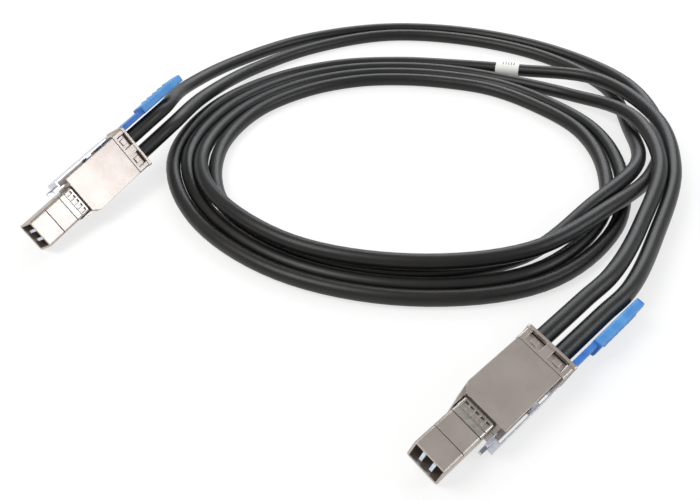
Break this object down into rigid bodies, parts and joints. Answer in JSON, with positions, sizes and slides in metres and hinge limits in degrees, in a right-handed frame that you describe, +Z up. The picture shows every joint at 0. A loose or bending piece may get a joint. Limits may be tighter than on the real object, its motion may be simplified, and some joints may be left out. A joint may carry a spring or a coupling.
{
  "type": "high density sas cable",
  "caption": "Coiled copper data cable: two round cables between two flat die-cast plugs with blue pull-tab latches.",
  "frame": {"origin": "on the floor, under the middle of the two plugs' common box", "axes": "+Z up from the floor, +X towards the side where the coil lies, +Y away from the front plug"},
  "size_m": [0.2566, 0.297, 0.0297],
  "materials": {
    "cast_metal": "die-cast, plated, satin",
    "sheet_metal": "stamped spring sheet",
    "latch_metal": "bright stamped steel",
    "card_edge": "pale laminate board edge",
    "wire_pairs": "foiled wire pairs",
    "dark_plastic": "moulded, matte",
    "blue_plastic": "moulded, satin",
    "jacket": "extruded, satin",
    "label_paper": "white film label"
  },
  "bodies": {
    "root": {"near_nose_shroud": "cast_metal", "near_upper_shell": "cast_metal", "near_lower_shell": "cast_metal", "near_finger_collar": "sheet_metal", "near_latch_side_card": "card_edge", "near_far_side_card": "card_edge", "near_card_holder": "dark_plastic", "near_latch_side_wires": "wire_pairs", "near_far_side_wires": "wire_pairs", "near_latch_side_ferrule": "sheet_metal", "near_far_side_ferrule": "sheet_metal", "near_clamp_frame": "cast_metal", "near_grommet": "dark_plastic", "near_latch_pin": "latch_metal", "near_latch_spring": "latch_metal", "far_nose_shroud": "cast_metal", "far_upper_shell": "cast_metal", "far_lower_shell": "cast_metal", "far_finger_collar": "sheet_metal", "far_latch_side_card": "card_edge", "far_far_side_card": "card_edge", "far_card_holder": "dark_plastic", "far_latch_side_wires": "wire_pairs", "far_far_side_wires": "wire_pairs", "far_latch_side_ferrule": "sheet_metal", "far_far_side_ferrule": "sheet_metal", "far_clamp_frame": "cast_metal", "far_grommet": "dark_plastic", "far_latch_pin": "latch_metal", "far_latch_spring": "latch_metal", "cable_a": "jacket", "cable_b": "jacket", "cable_label": "label_paper"},
    "near_pull": {"near_pull_tab": "blue_plastic"},
    "near_latch": {"near_latch_arm": "latch_metal"},
    "far_pull": {"far_pull_tab": "blue_plastic"},
    "far_latch": {"far_latch_arm": "latch_metal"}
  },
  "joints": [
    {"name": "near_pull_slide", "type": "slide", "parent": "root", "child": "near_pull", "axis": [0.704, 0.7089, 0.0436], "range_m": [0, 0.002], "stiffness_N_per_m": 1500, "springref_m": -0.0005},
    {"name": "near_latch_hinge", "type": "hinge", "parent": "root", "child": "near_latch", "pos_m": [0.0627, -0.06776, 0.00615], "axis": [-0.2067, 0.2632, -0.9423], "range_deg": [0, 2.5]},
    {"name": "far_pull_slide", "type": "slide", "parent": "root", "child": "far_pull", "axis": [0.4753, 0.8682, 0.1426], "range_m": [0, 0.002], "stiffness_N_per_m": 1500, "springref_m": -0.0005},
    {"name": "far_latch_hinge", "type": "hinge", "parent": "root", "child": "far_latch", "pos_m": [-0.08582, 0.04238, 0.01775], "axis": [0.685, -0.4669, 0.5592], "range_deg": [0, 2.5]}
  ],
  "couplings": [
    {"joint": "near_latch_hinge", "follows": "near_pull_slide", "rad_per_m": 21.795},
    {"joint": "far_latch_hinge", "follows": "far_pull_slide", "rad_per_m": 21.795}
  ]
}
